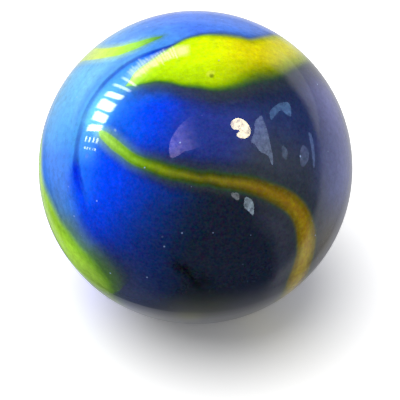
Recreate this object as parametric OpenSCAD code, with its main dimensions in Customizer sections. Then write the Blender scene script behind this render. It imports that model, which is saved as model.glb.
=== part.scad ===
/* [Ball] */
// Diameter of the ball
marble_d = 16; // [12:0.5:50]

/* [Shear crease] */
// Length of the crease where the hot glass was cut off, straight across
crease_l = 2; // [1:0.1:3]
// Depth of the crease at its middle, below a straight line between its ends
crease_depth = 0.05; // [0.02:0.01:0.1]
// Angle between the two walls of the crease
crease_angle = 100; // [60:5:140]
// Direction of the crease round the ball, counted from +X towards +Y
crease_az = -92; // [-180:1:180]
// Height of the crease above the ball's waist, as an angle
crease_el = 4; // [-60:1:60]
// Slope of the crease, running down to the right of level
crease_slope = 55; // [0:1:90]

/* [Bubble pit] */
// Width of the pit left by a burst bubble
pit_d = 0.5; // [0.3:0.05:1]
// Depth of the pit at its middle, below a straight line across its rim
pit_depth = 0.08; // [0.02:0.01:0.15]
// Direction of the pit round the ball, counted from +X towards +Y
pit_az = -62; // [-180:1:180]
// Height of the pit above the ball's waist, as an angle
pit_el = 78; // [-60:1:85]

/* [Hidden] */
marble_r = marble_d / 2;
// A crease of this length and depth is the track of a sharp-edged wheel
wheel_r = cut_radius(crease_l, crease_depth);
wheel_h = wheel_r * tan(crease_angle / 2);
// A pit of this width and depth is the print of a small ball
print_r = cut_radius(pit_d, pit_depth);

// Radius of the circle that rises by sag over a chord
function cut_radius(chord, sag) = (chord ^ 2 / 4 + sag ^ 2) / (2 * sag);

// Distance from the ball's centre to a flat line or disc of this width that just meets its skin
function chord_height(chord) = sqrt(marble_r ^ 2 - chord ^ 2 / 4);

// Turns a cutter that reaches out along +X towards its place on the ball
module aimed(az, el) {
    rotate([0, -el, az]) children();
}

module crease_wheel() {
    aimed(crease_az, crease_el)
        rotate([-crease_slope, 0, 0])
            translate([chord_height(crease_l) - crease_depth + wheel_r, 0, 0])
                rotate_extrude($fn = 96) polygon([[0, -wheel_h], [wheel_r, 0], [0, wheel_h]]);
}

module pit_print() {
    aimed(pit_az, pit_el)
        translate([chord_height(pit_d) - pit_depth + print_r, 0, 0])
            sphere(r = print_r, $fn = 96);
}

module marble() {
    color("royalblue") difference() {
        sphere(d = marble_d, $fn = 180);
        crease_wheel();
        pit_print();
    }
}

marble();
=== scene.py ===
from itertools import chain
from math import atan, ceil, cos, pi, prod, radians, sin, tan
import bpy
import numpy as np
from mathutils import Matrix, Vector


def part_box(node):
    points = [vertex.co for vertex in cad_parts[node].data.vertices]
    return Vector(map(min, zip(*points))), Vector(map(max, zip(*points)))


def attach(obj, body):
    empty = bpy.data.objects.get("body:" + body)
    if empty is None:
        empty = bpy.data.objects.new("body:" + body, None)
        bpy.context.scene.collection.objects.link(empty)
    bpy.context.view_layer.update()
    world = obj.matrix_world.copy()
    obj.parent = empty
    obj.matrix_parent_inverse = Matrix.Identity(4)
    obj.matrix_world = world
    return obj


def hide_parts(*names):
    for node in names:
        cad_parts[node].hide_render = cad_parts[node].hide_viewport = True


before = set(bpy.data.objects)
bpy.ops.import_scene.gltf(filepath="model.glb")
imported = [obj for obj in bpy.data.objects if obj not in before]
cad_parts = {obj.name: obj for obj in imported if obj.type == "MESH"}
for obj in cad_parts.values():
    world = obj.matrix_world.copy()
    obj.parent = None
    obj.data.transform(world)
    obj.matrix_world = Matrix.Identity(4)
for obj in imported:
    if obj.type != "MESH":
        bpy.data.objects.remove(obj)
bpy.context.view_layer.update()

lowCorner, highCorner = (Vector(corner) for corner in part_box("marble"))
ballRadius = max(highCorner - lowCorner) / 2  # the ball's centre is the frame's origin
millimetre = 0.001
print("frame loaded, ball of radius", round(ballRadius / millimetre, 2), "mm")


def linear(red, green, blue):  # a colour as a paint chart gives it, 0 to 255, made linear
    def channel(value):
        share = value / 255
        return share / 12.92 if share <= 0.04045 else ((share + 0.055) / 1.055) ** 2.4
    return channel(red), channel(green), channel(blue), 1.0


def spot(x, y, z):  # a place on a ball of radius 1, from hundredths of it along each axis
    return Vector((x, y, z)).normalized()


def arithmetic(operation, swapped=False):  # makes an operator out of a maths node
    def operate(wire, *others):
        values = (*others, wire) if swapped else (wire, *others)
        return wire.graph.maths(operation, *values)
    return operate


class Wire:  # one socket of a node tree, with the sums that it can stand in
    __add__, __radd__ = arithmetic("ADD"), arithmetic("ADD", swapped=True)
    __sub__, __rsub__ = arithmetic("SUBTRACT"), arithmetic("SUBTRACT", swapped=True)
    __mul__, __rmul__ = arithmetic("MULTIPLY"), arithmetic("MULTIPLY", swapped=True)
    __truediv__ = arithmetic("DIVIDE")
    __pow__ = arithmetic("POWER")
    __abs__ = arithmetic("ABSOLUTE")

    def __init__(self, graph, socket):
        self.graph = graph
        self.socket = socket

    def output(self, name):  # another output of the same node
        return Wire(self.graph, self.socket.node.outputs[name])


class Graph:  # a node tree, and the ways that its nodes are made
    def __init__(self, tree):
        self.tree = tree
        self.tree.nodes.clear()

    def node(self, kind, sockets={}, settings={}, output=0):
        made = self.tree.nodes.new(kind)
        for name, value in settings.items():
            setattr(made, name, value)
        for name, value in sockets.items():
            if isinstance(value, Wire):
                self.tree.links.new(value.socket, made.inputs[name])
            else:
                made.inputs[name].default_value = value
        return Wire(self, made.outputs[output]) if made.outputs else None

    def maths(self, operation, *values):
        return self.node("ShaderNodeMath", dict(enumerate(values)), {"operation": operation})

    def most(self, *values):
        return self.maths("MAXIMUM", *values)

    def vector(self, operation, *values, output=0):
        sockets = dict(enumerate(values))
        return self.node("ShaderNodeVectorMath", sockets, {"operation": operation}, output)

    def scaled(self, vector, share):
        return self.node("ShaderNodeVectorMath", {0: vector, 3: share}, {"operation": "SCALE"})

    def place(self, size):  # a place on the object, in shares of a size
        return self.scaled(self.node("ShaderNodeTexCoord", output="Object"), 1 / size)

    def apart(self, here, there):
        return self.vector("DISTANCE", here, there, output=1)

    def along(self, here, axis):
        return self.vector("DOT_PRODUCT", here, axis, output=1)

    def fade(self, value, nought, full):  # a soft step, from 0 at nought to 1 at full
        settings = {"interpolation_type": "SMOOTHSTEP"}
        return self.node("ShaderNodeMapRange", {0: value, 1: nought, 2: full}, settings)

    def mask(self, look, **values):  # the product of the fades that a look names for these values
        first, *rest = (self.fade(value, *look[name]) for name, value in values.items())
        return prod(rest, start=first)

    def noise(self, place, scale, detail=2.0, roughness=0.5, output=0):  # evenly round nought
        sockets = {"Vector": place, "Scale": scale, "Detail": detail, "Roughness": roughness}
        noise = self.node("ShaderNodeTexNoise", sockets, output=output)
        return self.vector("SUBTRACT", noise, (0.5, 0.5, 0.5)) if output else noise - 0.5

    def blend(self, under, over, share):  # one colour laid on another, as much as share says
        settings = {"data_type": "RGBA", "blend_type": "MIX"}
        return self.node("ShaderNodeMix", {0: share, 6: under, 7: over}, settings, 2)

    def ramp(self, stops, share):  # a stop is a place on the ramp and the colour there
        made = self.node("ShaderNodeValToRGB", {0: share})
        elements = made.socket.node.color_ramp.elements
        while len(elements) < len(stops):
            elements.new(1.0)
        for element, (place, *colour) in zip(elements, stops):
            element.position = place
            element.color = linear(*colour)
        return made

    def joined(self, *numbers):
        return self.node("ShaderNodeCombineXYZ", dict(enumerate(numbers)))

    def show(self, surface):
        self.node("ShaderNodeOutputMaterial", {"Surface": surface})

    def parts(self, vector):
        first = self.node("ShaderNodeSeparateXYZ", {0: vector})
        return first, first.output("Y"), first.output("Z")

    def kept(self, name):  # a vector kept at each point of the mesh, as its three numbers
        return self.parts(self.node("ShaderNodeAttribute", {}, {"attribute_name": name}, "Vector"))


def addObject(name, data):
    made = bpy.data.objects.new(name, data)
    bpy.context.scene.collection.objects.link(made)
    return made


def newMaterial(name):
    material = bpy.data.materials.new(name)
    material.use_nodes = True
    return material, Graph(material.node_tree)


# The ball is a gridded cube blown up round, with the marks of its making pressed into it.
ball = {
    "Grid Points": 127,  # along each edge of the cube
    "Radius": ballRadius,
    "Ripple Height": 0.006 * millimetre,  # how far the glass cooled out of true
    "Ripple Scale": 2.2,
    "Crease Place": spot(-4, -100, 7),
    "Crease Length": 2 * millimetre,
    "Crease Depth": 0.113 * millimetre,
    "Crease Wall": tan(radians(100 / 2)),  # from half the angle between its walls
    "Pit Place": spot(10, -19, 98),
    "Pit Width": 0.5 * millimetre,
    "Pit Depth": 0.084 * millimetre,
}
creaseSlope = radians(55)  # below level, down to the right
level = Vector((0, 0, 1)).cross(ball["Crease Place"]).normalized()
upright = ball["Crease Place"].cross(level)
ball["Crease Run"] = level * cos(creaseSlope) - upright * sin(creaseSlope)
ball["Crease Side"] = level * sin(creaseSlope) + upright * cos(creaseSlope)


def ballTree():
    tree = bpy.data.node_groups.new("blownBall", "GeometryNodeTree")
    graph = Graph(tree)
    tree.interface.new_socket("Geometry", in_out="OUTPUT", socket_type="NodeSocketGeometry")
    for name, value in ball.items():
        kind = {int: "Int", float: "Float", Vector: "Vector"}[type(value)]
        tree.interface.new_socket(name, in_out="INPUT", socket_type="NodeSocket" + kind)
    tree.interface.new_socket("Glass", in_out="INPUT", socket_type="NodeSocketMaterial")
    given = graph.node("NodeGroupInput").output

    grid = {axis: given("Grid Points") for axis in ("Vertices X", "Vertices Y", "Vertices Z")}
    cube = graph.node("GeometryNodeMeshCube", {"Size": (2, 2, 2), **grid})
    place = graph.node("GeometryNodeInputPosition")
    even = graph.vector("TANGENT", graph.scaled(place, pi / 4))  # keeps the cells alike in size
    outward = graph.vector("NORMALIZE", even)

    ripple = graph.noise(outward, given("Ripple Scale")) * 2 * given("Ripple Height")
    pitShare = graph.apart(outward, given("Pit Place")) * given("Radius") / given("Pit Width") * 2
    pit = graph.most(given("Pit Depth") * (1 - pitShare ** 2), 0)
    run = graph.along(outward, given("Crease Run")) * given("Radius")
    side = graph.along(outward, given("Crease Side")) * given("Radius")
    keel = given("Crease Depth") * (1 - (run / given("Crease Length") * 2) ** 2)
    groove = graph.most(keel - abs(side) / given("Crease Wall"), 0)
    facing = graph.maths("GREATER_THAN", graph.along(outward, given("Crease Place")), 0)
    height = given("Radius") + ripple - pit - groove * facing

    moved = {"Geometry": cube, "Position": graph.scaled(outward, height)}
    skin = graph.node("GeometryNodeSetPosition", moved)
    for kind in ("GeometryNodeSetShadeSmooth", "GeometryNodeRealizeInstances"):
        skin = graph.node(kind, {"Geometry": skin})
    skin = graph.node("GeometryNodeSetMaterial", {"Geometry": skin, "Material": given("Glass")})
    graph.node("NodeGroupOutput", {"Geometry": skin})
    return tree


def meshFromTree(name, tree, values):
    maker = addObject(name + "Maker", bpy.data.meshes.new(name + "Maker"))
    modifier = maker.modifiers.new("tree", "NODES")
    modifier.node_group = tree
    for item in tree.interface.items_tree:
        if item.in_out == "INPUT":
            modifier[item.identifier] = values[item.name]
    ready = maker.evaluated_get(bpy.context.evaluated_depsgraph_get())
    mesh = bpy.data.meshes.new_from_object(ready)
    bpy.data.objects.remove(maker)
    mesh.name = name
    return addObject(name, mesh)


# Each ribbon runs over the ball through its rows: a place and the half width there, in hundredths
# of the radius, then its tone, how much of it shows, how dark the border of painted shade beside it
# is and how soft its edges are. Left and right, as seen from outside along the run, are how wide
# that edge fades at a softness of 100, and how wide its border of painted shade is.
ribbons = {
    "crown": {"left": (9, 1), "right": (12, 16), "rows": [
        (-42, -19, 89, 0.6, 30, 80, 40, 30), (-37.5, -17.5, 91, 4.2, 32, 92, 70, 40),
        (-32.5, -15, 93, 7.1, 36, 97, 90, 60), (-25.5, -13, 96, 9.6, 38, 100, 95, 70),
        (-17, -11.3, 98, 13.8, 40, 100, 100, 80), (-8, -9.8, 99, 18.7, 41, 100, 100, 90),
        (1, -7.8, 100, 22.4, 42, 100, 100, 100), (9, -6.2, 99, 24.2, 45, 100, 100, 120),
        (17, -3.7, 98, 23.8, 51, 100, 100, 150), (25, -0.6, 97, 22.2, 60, 98, 95, 190),
        (32, 2, 95, 20.3, 67, 97, 90, 220), (39, 4.8, 92, 18.3, 71, 97, 85, 220),
        (45, 9.5, 89, 16.8, 71, 98, 75, 180), (52, 18.5, 84, 15.6, 68, 99, 65, 170),
        (58, 29.5, 76, 14.8, 66, 100, 60, 160), (63, 41.5, 66, 14, 64, 100, 60, 150),
        (65, 56, 52, 13.2, 62, 96, 70, 140), (64, 71, 30, 12.8, 58, 92, 80, 130),
        (57, 82, 0, 14, 50, 96, 90, 120), (44, 87, -25, 15, 46, 96, 100, 120),
        (25, 86, -45, 14, 44, 90, 100, 120), (6, 78, -62, 10, 38, 70, 80, 100),
        (-8, 66, -75, 5, 30, 50, 60, 80), (-18, 52, -84, 0.5, 25, 40, 30, 60)]},
    "wisp": {"left": (7, 1), "right": (8, 1.5), "rows": [
        (-19, 18.5, 96, 0.4, 4, 50, 20, 70), (-22, 17, 96, 2.2, 6, 60, 20, 80),
        (-26, 16.2, 95, 3.4, 10, 68, 20, 90), (-31, 15.2, 94, 4.4, 16, 80, 15, 100),
        (-36, 14.2, 92, 5, 22, 88, 10, 100), (-41, 14.2, 90, 5.5, 28, 92, 0, 110),
        (-46, 14.6, 87, 5.8, 34, 96, 0, 110), (-51, 17, 84, 6.1, 38, 96, 0, 120),
        (-56, 20.5, 79.5, 6.3, 42, 96, 0, 120), (-62, 27, 73.5, 6.6, 44, 96, 0, 120),
        (-67, 36.5, 65, 7.2, 42, 94, 0, 120), (-71, 48, 51, 8.4, 34, 90, 10, 120),
        (-69, 61, 38, 10, 28, 92, 30, 110), (-58, 76, 29, 9.6, 32, 94, 50, 100),
        (-42, 87, 25, 8, 38, 94, 60, 100), (-24, 93, 26, 6, 44, 92, 60, 90),
        (-8, 95, 31, 3.4, 50, 86, 50, 80), (5, 93, 36, 0.4, 54, 80, 30, 60)]},
    "rimBand": {"left": (26, 20), "right": (24, 13), "rows": [
        (-2, 97, -24, 0.4, 60, 66, 30, 40), (-18, 95, -26, 3, 54, 76, 50, 50),
        (-34, 90, -25, 6, 46, 86, 60, 50), (-51, 83, -22, 9.5, 38, 94, 60, 60),
        (-67, 71, -17, 13, 32, 100, 50, 60), (-81, 57, -12, 17, 28, 100, 40, 70),
        (-91, 40, -7, 21, 26, 100, 20, 80), (-97, 22, -3, 24.5, 26, 100, 0, 90),
        (-100, 8, 0, 27, 26, 100, 0, 90), (-100, -1, 0, 28, 26, 100, 0, 90),
        (-99, -11, -4, 27, 32, 100, 0, 130), (-97, -22, -8, 28, 34, 100, 8, 150),
        (-93, -35, -13, 32, 36, 100, 30, 160), (-88, -43, -18, 34.5, 36, 100, 45, 160),
        (-83, -51, -23, 37.5, 35, 97, 55, 150), (-78, -56, -28, 39.5, 35, 88, 62, 140),
        (-73, -60, -32, 40, 35, 75, 70, 140), (-67, -64, -37, 38, 35, 58, 75, 130),
        (-62, -67, -42, 32.5, 34, 42, 70, 130), (-57, -69, -46, 24, 32, 30, 60, 130),
        (-51, -71, -49, 14, 30, 20, 40, 120), (-46, -72, -52, 6, 28, 10, 20, 110),
        (-43, -72, -53, 0.5, 26, 4, 10, 100)]},
    "vein": {"left": (9, 9), "right": (8, 7), "rows": [
        (-58.5, -38.5, 72, 1.4, 28, 92, 5, 80), (-56, -42, 71, 3.3, 29, 88, 15, 80),
        (-53, -45.5, 71, 3.9, 29, 80, 22, 80), (-48.5, -51, 71, 4.2, 29, 70, 28, 80),
        (-43, -56.5, 70.5, 4.3, 29, 60, 34, 90), (-38, -61, 69.5, 4.3, 30, 51, 45, 90),
        (-32, -64.5, 69, 4.3, 34, 40, 60, 90), (-26.5, -67, 69, 4.4, 39, 35, 75, 100),
        (-20.5, -69.5, 68.5, 4.5, 44, 33, 85, 100), (-14.5, -71.5, 68, 4.6, 49, 29, 90, 100),
        (-9, -73, 68, 4.6, 54, 26, 90, 100), (-3, -74, 67, 4.5, 62, 24, 90, 100),
        (3, -75, 66, 4.5, 70, 24, 90, 100), (9, -75, 66, 4.6, 75, 26, 90, 100),
        (15, -75, 64, 4.8, 79, 30, 85, 100), (21, -75, 63, 5, 82, 35, 80, 100),
        (27, -74.5, 61.5, 5.3, 84, 40, 75, 100), (33, -74, 59, 5.6, 86, 44, 70, 110),
        (38.5, -73.5, 56, 5.9, 88, 48, 60, 110), (44, -73, 52.5, 6.2, 88, 53, 55, 110),
        (50, -72, 48, 6.5, 88, 57, 50, 110), (56, -71, 42, 6.8, 88, 61, 45, 110),
        (61, -71, 36, 7.1, 88, 63, 40, 110), (64, -71, 29.5, 7.6, 88, 63, 40, 120),
        (66.5, -71.5, 22, 8.1, 88, 64, 40, 120), (68, -72.5, 14, 8.6, 87, 64, 40, 120),
        (68.5, -73, 6, 9, 86, 65, 40, 130), (68, -74, -3, 9.6, 86, 65, 40, 130),
        (66.5, -74.5, -11, 10.2, 86, 65, 40, 140), (65, -74, -19, 10.6, 86, 64, 40, 140),
        (63, -71.5, -30, 10.8, 86, 64, 50, 140), (60, -67, -43, 10.6, 86, 62, 60, 140),
        (53, -59, -61, 10, 84, 57, 60, 120), (43, -46, -78, 8, 82, 51, 60, 100),
        (30, -31, -90, 5, 80, 44, 50, 80), (16, -18, -97, 0.5, 78, 40, 30, 60)]},
    "backVein": {"left": (5, 4), "right": (4, 4), "rows": [
        (4, 86, -50, 0.5, 40, 70, 20, 60), (-12, 81, -57, 2.6, 46, 72, 40, 80),
        (-28, 72, -63, 4, 52, 68, 60, 100), (-43, 60, -67, 5, 60, 62, 80, 120),
        (-57, 46, -68, 5.4, 66, 58, 80, 110), (-69, 32, -65, 4, 66, 56, 60, 80),
        (-78, 20, -60, 0.6, 60, 50, 30, 60)]},
}
# The seam is where two gathers of blue glass met: a dark line that opens into a wedge. Its rows
# hold the place and the half width.
seam = [
    (-12, 7, 99, 0.5), (-18, 5, 98, 0.7), (-26, 3, 97, 0.9), (-36, 0.5, 93, 1),
    (-45, -3.5, 89, 1.1), (-50, -6.5, 86, 1.1), (-55, -9.5, 83, 1.1), (-61, -15.5, 78, 1.3),
    (-66, -21.5, 73, 1.5), (-68, -27, 68, 1.6), (-70, -32, 64, 1.5), (-71.5, -36.5, 59.5, 1.4),
    (-72, -41, 55.5, 1.4), (-72.8, -45, 52, 2), (-72.5, -50, 48, 2.7), (-71.5, -55, 44, 3),
    (-70, -60, 40, 2.7), (-68.5, -64.5, 36, 1.8), (-67, -69, 31, 0.6)]
sampleStep = 0.004  # between samples of a run, on a ball of radius 1


def smoothRun(rows):  # samples of a smooth curve through the rows, with all their numbers
    rows = np.array(rows, float) / 100
    rows[:, :3] /= np.linalg.norm(rows[:, :3], axis=1, keepdims=True)
    ends = np.vstack([2 * rows[0] - rows[1], rows, 2 * rows[-1] - rows[-2]])
    stretches = []
    for before, start, end, after in zip(ends, ends[1:], ends[2:], ends[3:]):
        count = ceil(np.linalg.norm(end[:3] - start[:3]) / sampleStep)
        t = np.linspace(0, 1, count, endpoint=False)[:, None]
        bend = 2 * before - 5 * start + 4 * end - after
        twist = 3 * (start - end) + after - before
        stretches.append(start + 0.5 * t * ((end - before) + t * (bend + t * twist)))
    samples = np.vstack(stretches + [rows[-1:]])
    samples[:, :3] /= np.linalg.norm(samples[:, :3], axis=1, keepdims=True)
    return samples


def measureRun(points, rows):  # how far each point lies off the run, past its end and along it
    samples = smoothRun(rows)
    places = samples[:, :3]
    ahead = np.gradient(places, axis=0)
    ahead -= places * np.sum(ahead * places, axis=1, keepdims=True)
    ahead /= np.linalg.norm(ahead, axis=1, keepdims=True)
    toLeft = np.cross(places, ahead)
    travelled = np.concatenate([[0], np.cumsum(np.linalg.norm(np.diff(places, axis=0), axis=1))])
    nearest = np.concatenate([np.argmax(part @ places.T, axis=1)
                              for part in np.array_split(points, 40)])
    off = np.arcsin(np.clip(np.sum(points * toLeft[nearest], axis=1), -1, 1))
    step = np.sum(points * ahead[nearest], axis=1)
    past = np.where(nearest == 0, -step, np.where(nearest == len(places) - 1, step, 0))
    past = np.maximum(past, 0)
    return off, past, travelled[nearest] + step, samples[nearest, 3:]


def keep(mesh, name, *columns):
    attribute = mesh.attributes.new(name, "FLOAT_VECTOR", "POINT")
    attribute.data.foreach_set("vector", np.column_stack(columns).astype(np.float32).ravel())


def turnAside(off, past, edge):  # far off only the distance counts, so no sign flips there
    distance = np.hypot(off, past)
    share = np.clip((edge - 0.02) / 0.1, 0, 1)
    share = share * share * (3 - 2 * share)
    across = off / distance * (1 - share)
    onward = past / distance * (1 - share) + share
    stretch = distance / np.hypot(across, onward)
    return across * stretch, onward * stretch


def layRibbons(mesh):  # keeps at each point of the ball where it lies on the nearest ribbon
    points = np.empty(len(mesh.vertices) * 3)
    mesh.vertices.foreach_get("co", points)
    points = points.reshape(-1, 3)
    points /= np.linalg.norm(points, axis=1, keepdims=True)
    nearestEdge = np.full(len(points), 10.0)
    flow, form, rim = (np.zeros((len(points), 3)) for _ in range(3))
    for name, ribbon in ribbons.items():
        off, past, travelled, numbers = measureRun(points, ribbon["rows"])
        if name == "vein":
            keep(mesh, "veinFlow", off, past, travelled)
        half, tone, shade, border, blur = numbers.T
        edge = np.hypot(off, past) - half
        soft, wide = np.where(off[:, None] > 0, ribbon["left"], ribbon["right"]).T / 100
        nearer = edge < nearestEdge
        nearestEdge[nearer] = edge[nearer]
        off, past = turnAside(off, past, edge)
        for kept, values in ((flow, (off, past, travelled)), (form, (half, tone, shade)),
                             (rim, (soft * blur, wide, border))):
            kept[nearer] = np.column_stack(values)[nearer]
    keep(mesh, "ribbonFlow", flow)
    keep(mesh, "ribbonForm", form)
    keep(mesh, "ribbonRim", rim)
    off, past, travelled, numbers = measureRun(points, seam)
    keep(mesh, "seamFlow", off, past, numbers[:, 0])


glasses = {name: linear(*colour) for name, colour in {
    "haze": (50, 65, 122), "dimHaze": (60, 67, 84), "smoke": (62, 66, 82),
    "mist": (225, 250, 190), "dusk": (70, 148, 240), "glow": (38, 118, 255),
    "seamBlue": (8, 62, 196), "wedgeBlue": (0, 34, 220), "seed": (170, 200, 250),
    "black": (14, 16, 18), "slate": (53, 60, 62), "darkGreen": (46, 82, 44),
    "murk": (14, 22, 36), "pitLip": (244, 255, 90), "pitFloor": (104, 122, 0),
}.items()}
# Below, lengths are shares of the ball's radius, and a pair of numbers is a fade: nothing shows at
# the first and all of it at the second. An offset is more than nought on the left of a run.

# The blue thins out towards one side of the ball, from its full colour to ink.
thinning = {
    "towards": Vector((0.894, -0.316, -0.316)), "start": -0.5, "reach": 0.8, "mottle": 0.16,
    "stops": [
        (0, 6, 72, 255), (0.15, 8, 68, 246), (0.3, 14, 60, 200),
        (0.44, 20, 52, 144), (0.59, 22, 44, 104), (0.725, 24, 39, 74),
        (0.875, 25, 35, 56), (1, 28, 35, 53)],
}
# A haze lies on the ink above the vein, dimmer close to it, and smoke inside the vein's turn.
haze = {
    "fromVein": (-0.01, 0.05), "farOff": (1.3, 0.8), "aside": (0, 0.36),
    "share": 0.5, "denser": (0.75, 0.25), "denserBy": 0.4, "mottle": 0.5,
    "dim": (0.5, 0.2), "dimAside": (0.1, 0.35),
}
smoke = {"farOff": (-0.3, -0.16), "fromVein": (0, -0.05), "aside": (0.3, 0.5), "share": 0.85}


def layHaze(graph, glass, aside, mottle):
    veinOff = graph.kept("veinFlow")[0]
    thick = haze["share"] + graph.mask(haze, denser=veinOff) * haze["denserBy"]
    thick = thick + mottle * haze["mottle"]
    thick = thick * graph.mask(haze, fromVein=veinOff, farOff=veinOff, aside=aside)
    dim = graph.mask(haze, dim=veinOff, dimAside=aside)
    colour = graph.blend(glasses["haze"], glasses["dimHaze"], dim)
    glass = graph.blend(glass, colour, thick)
    thick = graph.mask(smoke, farOff=veinOff, fromVein=veinOff, aside=aside) * smoke["share"]
    return graph.blend(glass, glasses["smoke"], thick)


# The paler glass outside the seam changes from low on the ball to its top. Low down the two
# glasses run into each other, so its edge spreads there.
outerGlass = {
    "upward": Vector((0, 0.707, 0.707)), "start": -0.4, "reach": 1.2,
    "stops": [
        (0, 46, 102, 226), (0.12, 53, 136, 255), (0.27, 58, 137, 255),
        (0.4, 61, 140, 255), (0.5, 77, 168, 255), (0.64, 98, 184, 250),
        (0.84, 112, 198, 250), (1, 90, 160, 255)],
    "edge": (0.004, -0.016), "spread": (0.01, 0.16), "low": (0.55, 0.36),
    "farOff": (-0.9, -0.5), "pastEnd": (0.2, 0),
    "duskEdge": (-0.14, -0.05), "duskHeight": (0.5, 0.66), "duskShare": 0.8,
}


def layOuterGlass(graph, glass, seamOff, ended, upright, rise):
    look = outerGlass
    share = (rise - look["start"]) / look["reach"]
    outer = graph.ramp(look["stops"], share)
    low = graph.mask(look, low=upright)
    edge = [place - low * spread for place, spread in zip(look["edge"], look["spread"])]
    outside = graph.fade(seamOff, *edge) * graph.mask(look, farOff=seamOff) * ended
    glass = graph.blend(glass, outer, outside)
    dusk = graph.mask(look, duskEdge=seamOff, duskHeight=upright) * outside
    return graph.blend(glass, glasses["dusk"], dusk * look["duskShare"]), outside


# Fields of colour lie on that, one on another: the colour, the middle in hundredths of the radius,
# how far it reaches, how softly it ends and how much of it shows.
fields = [
    # paler blue over the top: partly the glass's own colour, partly painted reflection
    ((93, 145, 255), (10, 60, 78), 52, 20, 95),
    # paler blue at the upper left, where the light falls: painted reflection
    ((124, 196, 240), (-58, 50, 66), 20, 20, 80),
    # greyish violet towards the right rim: painted reflection
    ((98, 106, 170), (93, -22, 28), 26, 24, 85),
    ((114, 118, 188), (84, 6, 54), 22, 18, 75),
    ((92, 84, 62), (80, -58, -8), 16, 22, 70),
    ((26, 42, 100), (-44, -89, 5), 25, 18, 60),
    ((56, 64, 90), (-50, -86, -10), 20, 14, 72),
    # brighter blue left of the middle, where the light falls: painted highlight
    ((26, 108, 232), (-45, -44, 78), 12, 12, 55),
    # a purplish patch in the middle: painted reflection
    ((54, 68, 170), (9, -51, 85), 24, 16, 50),
    ((34, 40, 24), (4, -96, -26), 17, 15, 70),
    ((70, 74, 30), (-5, -91, -41), 6, 9, 90),
    ((190, 130, 220), (-66, -48, 57), 1.3, 0.8, 60),
    ((170, 200, 250), (-49, -44, 75), 0.8, 0.5, 90),
    ((170, 200, 250), (17, -37, 91), 0.8, 0.5, 60),
    ((170, 200, 250), (7, -56, 83), 0.8, 0.5, 50),
    ((170, 200, 250), (-22, -92, 33), 0.9, 0.6, 50),
]


def layFields(graph, glass, drifted):
    for colour, middle, reach, soft, share in fields:
        apart = graph.apart(drifted, spot(*middle))
        mask = graph.fade(apart, (reach + soft) / 100, (reach - soft) / 100) * (share / 100)
        glass = graph.blend(glass, linear(*colour), mask)
    return glass


# A glow inside the seam is widest at the top, and the line of the seam fades out low down.
seamLook = {
    "glowWidens": 0.55, "glowLess": 0.07, "glowFrom": (0, 0.02), "glowEdge": (0, -0.2),
    "glowHeight": (0.28, 0.46), "glowShare": 0.95,
    "lineEdge": (0.022, -0.006), "lineHeight": (0.35, 0.47), "lineShare": 0.9,
    "wedge": (0.018, 0.028), "wedgeLess": 0.15,
}


def laySeam(graph, glass, seamFlow, ended, upright):
    off, past, half = seamFlow
    look = seamLook
    reach = upright * look["glowWidens"] - look["glowLess"]
    glow = graph.mask(look, glowFrom=off, glowEdge=off - reach, glowHeight=upright) * ended
    glass = graph.blend(glass, glasses["glow"], glow * look["glowShare"])
    wedge = graph.mask(look, wedge=half)
    colour = graph.blend(glasses["seamBlue"], glasses["wedgeBlue"], wedge)
    distance = graph.maths("SQRT", off ** 2 + past ** 2)
    line = graph.mask(look, lineEdge=distance - half, lineHeight=upright)
    return graph.blend(glass, colour, line * (look["lineShare"] - wedge * look["wedgeLess"]))


# The ribbons sink into the blue at their edges, through a dark border of painted shade.
ribbonLook = {
    "tones": [
        (0, 110, 196, 90), (0.25, 178, 255, 70), (0.35, 190, 252, 12),
        (0.45, 226, 255, 3), (0.6, 240, 244, 6), (0.7, 240, 230, 8),
        (0.9, 186, 146, 20), (1, 176, 126, 30)],
    "wobble": 0.014, "outerSoft": 0.3, "innerSoft": -0.7, "core": (0.12, 0.6),
    "bordered": (-0.02, 0.04), "borderShare": 0.92, "borderFull": 0.3, "borderNear": 0.9,
    "fringe": (0, 0.3), "fringeShare": 0.85,
    "glassKept": 0.35, "slateAdded": 0.26,  # in the shadow of the border
    "wobbleNoise": (7, 3), "streakNoise": (1, 3, 0.6), "speckNoise": (30, 3, 0.7),
    "streakScale": (5, 14, 14), "streakDrift": 5,
    "stain": 0.2, "speck": 0.22, "stained": (0.35, 0.6), "stainShade": 0.3,
    "mist": 0.1, "mistAside": (-0.4, -0.75), "mistAbove": 0.35, "mistHeight": (0.2, 0.6),
    "sunken": (-1.2, -0.25), "sunkenBorder": (0.03, 0.07), "lessSunken": (0.17, 0.2), "lessBy": 0.6,
    "ripe": (0.4, 0.6), "unripeShare": 0.65, "dulledLeast": 0.1, "dulledBy": 0.8,
    "dulled": (0.44, 0.54, 0.8), "deep": (0.34, 0.5, 0.5), "shallow": (0.3, 1),
    # a veil beside the thin green ribbons, and a slower fade into the blue beside the broad one
    "veil": 0.42, "veilLess": 0.25, "veilEdge": (0.05, -0.01),
    "thin": (0.16, 0.1), "green": (0.6, 0.35),
    "sink": 0.33, "sinkEdge": (0.19, -0.05), "broad": (0.27, 0.33), "broadBorder": (0.1, 0.6),
}


# The dark border beside a ribbon and the dark green fringe along its edge are painted shade.
def layBorder(graph, glass, edge, core, soft, width, border):
    look = ribbonLook
    bordered = border * graph.mask(look, bordered=width)
    beside = graph.fade(edge, width + soft * look["outerSoft"], width * look["borderFull"])
    near = graph.fade(edge, width * look["borderNear"], 0)
    slate = glasses["slate"]
    shadow = graph.vector("ADD", graph.scaled(glass, look["glassKept"]),
                          graph.scaled(slate[:3], look["slateAdded"]))
    shadow = graph.blend(shadow, slate, near)
    glass = graph.blend(glass, shadow, beside * bordered * look["borderShare"])
    fringe = graph.mask(look, fringe=core) * bordered
    return graph.blend(glass, glasses["darkGreen"], fringe * look["fringeShare"])


def streaks(graph, look, drift, *flow):  # noise drawn out along a run
    run = graph.vector("MULTIPLY", graph.joined(*flow), look["streakScale"])
    drifted = graph.vector("ADD", run, graph.scaled(drift, look["streakDrift"]))
    return graph.noise(drifted, *look["streakNoise"])


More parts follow.
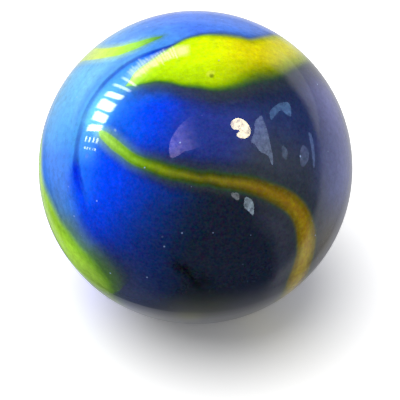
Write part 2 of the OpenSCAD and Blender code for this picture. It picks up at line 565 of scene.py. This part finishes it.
def stainedRibbon(graph, place, drift, ribbonFlow, tone, shade):  # its colour, streaked along it
    look = ribbonLook
    off, past, travelled = ribbonFlow
    stain = streaks(graph, look, drift, travelled, off, past)
    speck = graph.noise(place, *look["speckNoise"])
    toned = (stain * look["stain"] + speck * look["speck"]) * graph.mask(look, stained=tone)
    colour = graph.ramp(look["tones"], tone + toned)
    return graph.blend(glasses["murk"], colour, shade * (1 + stain * look["stainShade"]))


def layRibbonGlass(graph, glass, place, drift, aside, upright):
    look = ribbonLook
    off, past, travelled = graph.kept("ribbonFlow")
    half, tone, shade = graph.kept("ribbonForm")
    soft, borderWidth, border = graph.kept("ribbonRim")
    wobble = graph.noise(place, *look["wobbleNoise"]) * look["wobble"]
    edge = graph.maths("SQRT", off ** 2 + past ** 2) - half + wobble
    core = graph.fade(edge, soft * look["outerSoft"], soft * look["innerSoft"])
    glass = layBorder(graph, glass, edge, core, soft, borderWidth, border)
    colour = stainedRibbon(graph, place, drift, (off, past, travelled), tone, shade)

    # Towards the left and higher up, the ribbons fade to a whitish green: a painted sheen.
    mist = look["mist"] + graph.mask(look, mistHeight=upright) * look["mistAbove"]
    colour = graph.blend(colour, glasses["mist"], graph.mask(look, mistAside=aside) * mist)
    # Towards its bordered edges a ribbon is darkened, and darker still right at the edge: painted
    # shade.
    sunken = graph.mask(look, sunken=edge / half, sunkenBorder=borderWidth)
    sunken = sunken * (1 - graph.mask(look, lessSunken=borderWidth) * look["lessBy"])
    ripe = graph.mask(look, ripe=tone) * (1 - look["unripeShare"])
    sunken = sunken * (look["unripeShare"] + ripe)
    dulled = graph.vector("MULTIPLY", colour, look["dulled"])
    sunken = sunken * (look["dulledLeast"] + border * look["dulledBy"])
    colour = graph.blend(colour, dulled, sunken)
    deep = graph.vector("MULTIPLY", colour, look["deep"])
    shallow = graph.most(graph.mask(look, shallow=core), 1 - border)
    colour = graph.blend(deep, colour, shallow)

    veil = graph.mask(look, veilEdge=edge, thin=half, green=tone)
    veil = veil * (look["veil"] - border * look["veilLess"])
    sink = graph.mask(look, sinkEdge=edge, broad=soft, broadBorder=border) * look["sink"]
    shown = graph.most(graph.mask(look, core=core), veil + sink)
    return graph.blend(glass, colour, shown)


# The pit has a painted highlight on its lip on one side and painted shade on its floor. The crease
# and a ragged patch round it are darkened. Places on the pit are shares of half its width.
markLook = {
    "lipPlace": spot(8, -16, 98), "lip": (1.3, 0.9), "lipSide": (1.6, 0.8), "lipShare": 0.4,
    "pit": (0.7, 0.3), "pitShare": 0.8,
    "noise": (9, 3, 0.6), "ragged": 0.12,
    "creaseEdge": (0.06, 0), "creaseEnd": (0.22, 0.06), "front": (0.5, 0.8),
    "stainPlace": spot(2, -99, 3), "stainRagged": 0.2, "stain": (0.13, 0), "stainShare": 0.6,
    "creaseShare": 0.9,
}


def stainMarks(graph, glass, place):
    look = markLook
    toPit = ballRadius / ball["Pit Width"] * 2
    fromPit = graph.apart(place, ball["Pit Place"]) * toPit
    fromLip = graph.apart(place, look["lipPlace"]) * toPit
    # The pale lip is a painted highlight and the dark floor is painted shade.
    lip = graph.mask(look, lip=fromPit, lipSide=fromLip)
    glass = graph.blend(glass, glasses["pitLip"], lip * look["lipShare"])
    pit = graph.mask(look, pit=fromPit) * look["pitShare"]
    glass = graph.blend(glass, glasses["pitFloor"], pit)
    side, run, front = (graph.along(place, ball["Crease " + way])
                        for way in ("Side", "Run", "Place"))
    ragged = graph.noise(place, *look["noise"])
    side = abs(side + ragged * look["ragged"])
    # The crease and a ragged patch round it are darkened towards black.
    crease = graph.mask(look, creaseEdge=side, creaseEnd=abs(run), front=front)
    fromStain = graph.apart(place, look["stainPlace"]) + ragged * look["stainRagged"]
    stain = graph.mask(look, stain=fromStain) * look["stainShare"]
    stain = graph.most(crease * look["creaseShare"], stain)
    return graph.blend(glass, glasses["black"], stain)


# Last come streaks along the seam, grain, a faint unevenness of colour and small seeds.
grainLook = {
    "mottle": 0.4, "grain": 0.9, "grainNoise": (26, 4, 0.75),
    "tint": 0.045, "tintNoise": (60, 2, 0.6), "streakNoise": (1, 3), "seedNoise": (5, 1),
    "streaks": 0.2, "outerStreaks": 0.12, "streakScale": (26, 4, 2), "streakDrift": 3,
    "seedScale": 10, "seedSize": (0.075, 0.04), "seeded": (-0.08, 0.1), "seedShare": 0.7,
}


def layGrain(graph, glass, place, drift, seamFlow, rise, outside, mottle):
    look = grainLook
    streaked = streaks(graph, look, drift, *seamFlow[:2], rise)
    streaked = streaked * (look["streaks"] + outside * look["outerStreaks"])
    grain = graph.noise(place, *look["grainNoise"])
    tint = graph.noise(place, *look["tintNoise"], "Color")
    light = 1 + mottle * look["mottle"] + grain * look["grain"] + streaked
    glass = graph.vector("ADD", graph.scaled(glass, light), graph.scaled(tint, look["tint"]))
    cells = {"Vector": place, "Scale": look["seedScale"]}
    fromSeed = graph.node("ShaderNodeTexVoronoi", cells, output="Distance")
    seeds = graph.mask(look, seedSize=fromSeed, seeded=graph.noise(place, *look["seedNoise"]))
    return graph.blend(glass, glasses["seed"], seeds * look["seedShare"])


gloss = {"Roughness": 0.04, "IOR": 1.5}
swirl = {"noise": (1.7, 2), "reach": 0.16, "mottleNoise": (3.4, 4, 0.6)}  # how colours wander


def swirlGlass():
    material, graph = newMaterial("swirlGlass")
    place = graph.place(ballRadius)
    drift = graph.noise(place, *swirl["noise"], output="Color")
    drifted = graph.vector("ADD", place, graph.scaled(drift, swirl["reach"]))
    mottle = graph.noise(drifted, *swirl["mottleNoise"])
    upright = graph.parts(place)[2]
    aside = graph.parts(drifted)[0]
    rise = graph.along(drifted, outerGlass["upward"])
    seamFlow = graph.kept("seamFlow")
    ended = graph.mask(outerGlass, pastEnd=seamFlow[1])

    toInk = graph.along(drifted, thinning["towards"]) + mottle * thinning["mottle"]
    share = (toInk - thinning["start"]) / thinning["reach"]
    glass = graph.ramp(thinning["stops"], share)
    glass = layHaze(graph, glass, aside, mottle)
    glass, outside = layOuterGlass(graph, glass, seamFlow[0], ended, upright, rise)
    glass = layFields(graph, glass, drifted)
    glass = laySeam(graph, glass, seamFlow, ended, upright)
    glass = layRibbonGlass(graph, glass, place, drift, aside, upright)
    glass = stainMarks(graph, glass, place)
    glass = layGrain(graph, glass, place, drift, seamFlow, rise, outside, mottle)

    graph.show(graph.node("ShaderNodeBsdfPrincipled", {"Base Color": glass, **gloss}))
    return material


marble = meshFromTree("swirlMarble", ballTree(), {**ball, "Glass": swirlGlass()})
layRibbons(marble.data)
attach(marble, "root")
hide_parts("marble")
print("marble blown,", len(marble.data.polygons), "faces")

# The camera stands where the ball takes up this much of the picture, and looks a little below it.
view = {
    "lens": 200, "sensor": 36,
    "elevation": radians(45),
    "ballShare": 0.785,  # of the picture's side
    "toLeft": 0.0111,  # the ball's place off the middle, as shares of the side
    "up": 0.0806,
}
back = Vector((0, -cos(view["elevation"]), sin(view["elevation"])))
right = Vector((1, 0, 0))
up = back.cross(right)
ballAngle = atan(view["ballShare"] / 2 * view["sensor"] / view["lens"])
cameraDistance = ballRadius / sin(ballAngle)


def placeCamera():
    cameraData = bpy.data.cameras.new("camera")
    cameraData.lens = view["lens"]
    cameraData.sensor_width = view["sensor"]
    cameraData.clip_start = ballRadius / 10
    camera = addObject("camera", cameraData)
    pictureWidth = cameraDistance * view["sensor"] / view["lens"]
    aim = (right * view["toLeft"] - up * view["up"]) * pictureWidth
    camera.location = back * cameraDistance
    camera.rotation_euler = (aim - camera.location).to_track_quat("-Z", "Y").to_euler()
    bpy.context.scene.camera = camera


def addPiece(name, corners, faces, material):
    mesh = bpy.data.meshes.new(name)
    mesh.from_pydata(corners, [], faces)
    mesh.materials.append(material)
    return addObject(name, mesh)


# The floor's greys. The ball's gloss sees a darker floor, brightest under the ball and dimmest at
# the left in front, and the camera sees plain white.
floor = {
    "reach": 60, "plain": 0.9, "seen": 1.45, "mirrored": 0.6,
    "underBall": 1.3, "under": (1.05, 0.7),
    "dimmest": 0.33, "across": (-0.4, -0.95), "inward": (0, -0.35),
}
room = {"light": 0.46, "seen": 1}
lamps = [  # a name, its strength, how many degrees wide it looks and where it stands
    ("softbox", 2.1, 72, (-0.31, 0.11, 1)),
    ("sideLamp", 0.45, 40, (-0.85, 0.4, 0.06))]


def layFloor():
    material, graph = newMaterial("paleFloor")
    greys = {name: (floor[name],) * 3 + (1,)
             for name in ("plain", "seen", "mirrored", "underBall", "dimmest")}
    seen = graph.node("ShaderNodeLightPath", output="Is Camera Ray")
    place = graph.place(ballRadius)
    under = graph.mask(floor, under=graph.apart(place, (0, 0, -1)))
    across, inward, _ = graph.parts(place)
    mirrored = graph.blend(greys["mirrored"], greys["underBall"], under)
    dimmed = graph.mask(floor, across=across, inward=inward)
    mirrored = graph.blend(mirrored, greys["dimmest"], dimmed)
    colour = graph.blend(greys["plain"], mirrored, seen.output("Is Glossy Ray"))
    colour = graph.blend(colour, greys["seen"], seen)
    graph.show(graph.node("ShaderNodeBsdfDiffuse", {"Color": colour}))
    reach = ballRadius * floor["reach"]
    corners = [(x * reach, y * reach, -ballRadius) for x, y in ((-1, -1), (1, -1), (1, 1), (-1, 1))]
    addPiece("floor", corners, [(0, 1, 2, 3)], material)


def lightScene():
    world = bpy.data.worlds.new("paleWorld")
    bpy.context.scene.world = world
    world.use_nodes = True
    graph = Graph(world.node_tree)
    path = graph.node("ShaderNodeLightPath", output="Is Camera Ray")
    shown = path + path.output("Is Glossy Ray") + path.output("Is Transmission Ray")
    shown = graph.maths("MINIMUM", shown, 1)
    plain, white = (
        graph.node("ShaderNodeBackground", {"Strength": room[name], "Color": (1, 1, 1, 1)})
        for name in ("light", "seen"))
    both = graph.node("ShaderNodeMixShader", {0: shown, 1: plain, 2: white})
    graph.node("ShaderNodeOutputWorld", {"Surface": both})
    for name, energy, width, place in lamps:
        lamp = addObject(name, bpy.data.lights.new(name, "SUN"))
        lamp.data.energy = energy
        lamp.data.angle = radians(width)
        lamp.rotation_euler = Vector(place).to_track_quat("Z", "Y").to_euler()
        lamp.visible_glossy = False


# A dark hood round the ball keeps the pale room out of its gloss, but for two windows, a gap at the
# top and the floor, and carries the lit panes. Places on it are shares of its radius: back towards
# the camera, across to the right and level, the height. A fade is closed at its first number and
# open at its second.
hood = {
    "radius": 1.4,  # of the ball's
    "rings": 32, "spokes": 48, "colour": (0.01, 0.012, 0.02, 1),
    "noise": (6, 3), "ragged": 0.1, "lowered": -0.35, "lean": 0.7,  # how the edges run
    "windowFront": {"back": (0.41, 0.3)},
    "windows": [
        {"across": (0.45, 0.7), "level": (-0.8, -0.2), "share": 1},
        {"across": (-0.25, -0.5), "level": (-0.25, 0.15), "share": 0.8}],
    "topGap": {"back": (0.1, -0.15), "level": (0.2, 0.5), "share": 0.62},
    "floorGap": {"level": (-0.34, -0.8)},
    "rimGap": {"back": (-0.12, -0.42)},
    "widerRight": {"across": (0.4, 0.8), "by": 0.14},  # the gap behind the rim
    "widerLow": {"level": (-0.4, -0.7), "by": 0.08},
    "flaps": [  # these close it again, low on either side
        {"across": (-0.1, -0.45), "level": (0, -0.25), "back": (1, 0.5), "share": 0.15},
        {"across": (-0.05, -0.35), "level": (-0.45, -0.65), "back": (1, 0.5), "share": 0.55},
        {"across": (-0.3, -0.6), "level": (-0.3, -0.6), "back": (0.1, -0.2), "share": 0.2},
        {"across": (0.3, 0.6), "level": (0.1, -0.15), "back": (-0.42, -0.7), "share": 0.5}],
}


def shownToGlossOnly(piece):
    piece.visible_camera = piece.visible_diffuse = piece.visible_shadow = False
    piece.visible_transmission = piece.visible_volume_scatter = False


def hangHood():
    material, graph = newMaterial("darkCloth")
    place = graph.place(ballRadius * hood["radius"])
    across, _, level = graph.parts(place)
    behind = graph.along(place, back) + graph.noise(place, *hood["noise"]) * hood["ragged"]
    opened = graph.mask(hood["floorGap"], level=level)
    lowered = graph.most(0, level * hood["lowered"])
    front = graph.mask(hood["windowFront"], back=behind + lowered)
    for window in hood["windows"]:
        share = graph.mask(window, across=across + lowered * hood["lean"], level=level) * front
        opened = graph.most(opened, share * window["share"])
    share = graph.mask(hood["topGap"], back=behind, level=level) * hood["topGap"]["share"]
    opened = graph.most(opened, share)
    widened = behind - graph.mask(hood["widerRight"], across=across) * hood["widerRight"]["by"]
    widened = widened - graph.mask(hood["widerLow"], level=level) * hood["widerLow"]["by"]
    opened = graph.most(opened, graph.mask(hood["rimGap"], back=widened))
    for flap in hood["flaps"]:
        share = graph.mask(flap, across=across, level=level, back=behind)
        opened = opened * (1 - share * flap["share"])
    clear = graph.node("ShaderNodeBsdfTransparent")
    dark = graph.node("ShaderNodeEmission", {"Color": hood["colour"]})
    graph.show(graph.node("ShaderNodeMixShader", {0: opened, 1: dark, 2: clear}))
    rings, spokes = hood["rings"], hood["spokes"]
    corners = []
    for ring in range(1, rings):
        lean = ring / rings * pi
        for spoke in range(spokes):
            turn = spoke / spokes * 2 * pi
            out = (right * cos(turn) + up * sin(turn)) * sin(lean) + back * cos(lean)
            corners.append(out * ballRadius * hood["radius"])
    lastRing = (rings - 2) * spokes
    faces = [tuple(range(spokes)), tuple(range(lastRing, lastRing + spokes))]
    for start in range(0, lastRing, spokes):
        for spoke in range(spokes):
            ahead = start + (spoke + 1) % spokes
            faces.append((start + spoke, ahead, ahead + spokes, start + spoke + spokes))
    shownToGlossOnly(addPiece("hood", corners, faces, material))


def mirrored(across, upward):  # where the camera sees the hood by way of this place on the ball
    ray = (right * across + up * upward) / 100 * tan(ballAngle) - back
    ray.normalize()
    start = back * cameraDistance
    toMiddle = -start.dot(ray)
    gap = start.length ** 2 - toMiddle ** 2
    hit = start + ray * (toMiddle - (ballRadius ** 2 - gap) ** 0.5)
    ray = ray.reflect(hit.normalized())
    reach = hood["radius"] * 0.98 * ballRadius
    slant = hit.dot(ray)
    return hit + ray * ((slant ** 2 + reach ** 2 - ballRadius ** 2) ** 0.5 - slant)


def showGlow(graph, glow, fading=None, sheer=False):
    clear = graph.node("ShaderNodeBsdfTransparent")
    glow = graph.node("ShaderNodeEmission", {"Color": glow})
    if sheer:
        glow = graph.node("ShaderNodeAddShader", {0: clear, 1: glow})
    if fading:  # the pane is full at the first place and gone at the second
        full, gone = (mirrored(*corner) for corner in fading)
        onward = graph.along(graph.vector("SUBTRACT", graph.place(1), full), gone - full)
        share = graph.fade(onward / (gone - full).length_squared, 1, 0)
        glow = graph.node("ShaderNodeMixShader", {0: share, 1: clear, 2: glow})
    graph.show(glow)


def rounded(outline):  # with its corners cut off
    follow = outline[1:] + outline[:1]
    return [tuple(here * (1 - share) + there * share for here, there in zip(*pair))
            for pair in zip(outline, follow) for share in (0.2, 0.8)]


def unevenLight(graph):
    return graph.noise(graph.place(ballRadius), 22, 3, 0.7)


def lightPane(name, colour, outline, fading=None):
    material, graph = newMaterial(name)
    showGlow(graph, graph.scaled(colour, 1 + unevenLight(graph) * 3), fading)
    corners = [mirrored(*corner) for corner in rounded(outline)]
    shownToGlossOnly(addPiece(name, corners, [tuple(range(len(corners)))], material))


def lightGrids(name, colour, grids, rough=0):
    # A grid is made of lines, and a line of spots: how many degrees a spot lies round from the
    # right, how far out from the middle, and how brightly it is lit.
    corners, faces, strengths = [], [], []
    for lines in grids:
        first, count = len(corners), len(lines[0])
        for start in range(first, first + (len(lines) - 1) * count, count):
            faces += [(at, at + 1, at + count + 1, at + count)
                      for at in range(start, start + count - 1)]
        for angle, out, lit in chain(*lines):
            corners.append(mirrored(out * cos(radians(angle)), out * sin(radians(angle))))
            strengths.append(lit)
    material, graph = newMaterial(name)
    lit = graph.node("ShaderNodeAttribute", {}, {"attribute_name": "lit"}, "Fac")
    if rough:
        lit = lit * graph.most(1 + unevenLight(graph) * rough, 0)
    showGlow(graph, graph.scaled(colour, lit), sheer=True)
    piece = addPiece(name, corners, faces, material)
    piece.data.attributes.new("lit", "FLOAT", "POINT").data.foreach_set("value", strengths)
    shownToGlossOnly(piece)


def lightBand(name, band):  # a soft-edged band of light, bent round the ball
    lines = [[(angle, middle + aside, along * across) for aside, across in band["rows"]]
             for angle, middle, along in band["line"]]
    lightGrids(name, band["colour"], [lines])


# A pane is placed by how it shows on the ball: hundredths of the ball's outline to the right of
# its middle and up from it.
panes = {
    "bean": {"colour": (25, 21.5, 12.6), "outline": [
        (22.2, 27), (23.2, 30.2), (26.5, 31.8), (30.2, 31), (33.4, 28), (35.2, 24.5), (35, 20.8),
        (32.2, 18.6), (28.8, 18.6), (26, 20.5), (26.6, 22), (28.4, 23), (27.4, 24.4), (24, 24.4)]},
    "tallPane": {"colour": (1.8, 2.3, 3.6), "outline": [
        (42, 34), (44, 29), (45.5, 24), (47.5, 16), (48.3, 12), (49.5, 7), (49.5, 2), (48.5, 2),
        (46.5, 8), (41, 10), (38, 15), (35, 16), (38, 24), (37.5, 29)]},
    "archPane": {"colour": (0.8, 1.7, 3), "outline": [
        (47, 36), (53, 41), (59, 42), (61, 38), (61, 32), (58, 34), (54, 37), (50, 32), (48, 30)]},
    "shortPane": {"colour": (0.7, 1, 1.5), "outline": [(55, 15), (59, 11), (58, 4), (55, 8)]},
    "farPane": {"colour": (0.7, 0.9, 1.6), "outline": [
        (68, 15), (71.5, 12), (72.5, 6), (69, 0), (66.5, 2), (66.5, 10)]},
    "thinPane": {"colour": (0.8, 1.2, 2.2), "outline": [
        (72, 23), (74, 21), (76, 10), (76, 0), (75, 0), (74, 11), (72, 21)]},
    "lowPane": {"colour": (3.6, 4.6, 5.4), "outline": [
        (31.5, -18), (37, -21), (37, -31), (34, -28), (30.5, -25)]},
    "chipPane": {"colour": (2.4, 2.6, 2.8), "outline": [
        (22.5, -16), (27.5, -16), (28, -20), (26.5, -21), (23, -18.5)]},
    "duskPane": {"colour": (2.6, 2, 3.6), "outline": [
        (-16, 6), (-17, 12), (-16, 18), (-13, 22.5), (-9.5, 27.5), (-4.5, 32), (3, 35),
        (8, 26), (6, 16), (0, 12), (-8, 10), (-12, 7)], "fading": ((-15, 14), (5, 20))},
}
# A row of small panes curves round the upper left: the angle from the right of the middle, the
# width and lean in degrees, how brightly it is lit, how many strokes it is split into and its
# outer edge. A trail of bits goes on past the row's end.
paneRow = {
    "inner": 64.5,
    "colour": (34, 36, 37),
    "uneven": 1 / 12,
    "filled": 0.85, "strokeFilled": 0.4,  # how much of its length a pane or a stroke takes up
    "panes": [
        (169.6, 1.2, 0, 0.5, 5, 73), (164.8, 2.8, 0.4, 0.5, 4, 74), (158, 3.6, 2.2, 0.9, 1, 74.4),
        (151.9, 4.8, 0.6, 0.9, 1, 73.8), (144.9, 5.8, 1.4, 0.9, 1, 75),
        (138.2, 3.2, 3.4, 0.7, 1, 75.4), (132.4, 1.7, 3.6, 0.34, 1, 76),
        (127.4, 1.5, 3, 0.3, 1, 76)],
}
paneEdge = [(-0.1, 0), (0.15, 1), (0.85, 1), (1.1, 0)]  # where along a side, and how much is lit
# A band of light has a line of angles, middles and strengths, and rows across it that say how far
# out from the line each lies and how strong it is.
bands = {
    "rowGlow": {
        "colour": (1.6, 5.2, 3.6), "line": [
            (180, 70, 0), (175, 70, 0.3), (170, 70, 0.6), (165, 70, 0.8), (161, 70, 1.1),
            (157, 70, 2), (150, 70, 2.2), (143, 70, 2), (138, 70, 1.4), (132, 70, 1.1),
            (126, 70.5, 0.9), (120, 71.5, 0.6), (114, 72.5, 0.2), (110, 73, 0)],
        "rows": [(-15, 0), (-10, 0.05), (-7, 0.22), (-5, 0.6), (-2, 1), (4, 1), (6.5, 0.7),
                 (9, 0.3), (12, 0)]},
    "trailGlow": {
        "colour": (3.6, 4.4, 3.8), "line": [
            (129, 71, 0), (124, 71.3, 0.9), (118, 72, 1), (112, 72.8, 1), (106, 73.8, 1),
            (101, 74.6, 1), (97.5, 74.9, 1), (95, 74.7, 0.8), (92, 74.6, 0)],
        "rows": [(-4.2, 0), (-2.8, 0.7), (-1, 1), (1.5, 1), (3.2, 0.7), (4.6, 0)]},
    "tipGlow": {
        "colour": (3, 3.5, 3.2),
        "line": [(99.5, 75, 0), (97, 75, 1), (94.8, 75.2, 1), (92.4, 75.3, 0)],
        "rows": [(-3.2, 0), (-1.6, 1), (1.6, 1), (3, 0)]},
}
bitTrail = {
    "share": 0.16, "bits": 17, "from": (124.4, 71.4), "to": (100, 74.6),
    "size": (1.2, 8), "lean": 1.2,
}


def paneSlats():  # for each small pane: its angle, width, lean, ends and how brightly it is lit
    chance = np.random.default_rng(4)
    inner = paneRow["inner"]
    for angle, width, lean, share, parts, outer in paneRow["panes"]:
        step = (outer - inner) / parts
        for part in range(parts):
            shift, wide, long = chance.uniform(-1, 1, 3) * paneRow["uneven"]
            filled = paneRow["strokeFilled" if parts > 1 else "filled"]
            start = inner + (part + shift * 0.5) * step
            end = start + step * (filled + long * 0.4)
            turned = lean * ((part + 0.5) / parts - 0.5) + width * shift * 0.7
            yield angle + turned, width * (1 + wide), lean / parts, start, end, share
    for number in range(bitTrail["bits"]):
        share = number / (bitTrail["bits"] - 1)
        angle, middle = (start + (end - start) * share
                         for start, end in zip(bitTrail["from"], bitTrail["to"]))
        width, length = bitTrail["size"] * chance.uniform(0.6, 1.2, 2)
        middle += chance.uniform(-1, 1)
        inner, outer = middle - length / 2, middle + length / 2
        yield angle, width, bitTrail["lean"], inner, outer, bitTrail["share"]


def lightPaneRow():
    grids = [[[(angle + (across - 0.5) * width + (along - 0.5) * lean,
                inner + (outer - inner) * along, lit * full * share)
               for across, full in paneEdge] for along, lit in paneEdge]
             for angle, width, lean, inner, outer, share in paneSlats()]
    lightGrids("paneRow", paneRow["colour"], grids, rough=1.0)


placeCamera()
layFloor()
lightScene()
hangHood()
lightPaneRow()
for name, band in bands.items():
    lightBand(name, band)
for name, pane in panes.items():
    lightPane(name, **pane)
bpy.context.scene.view_settings.view_transform = "Standard"
print("stage set")
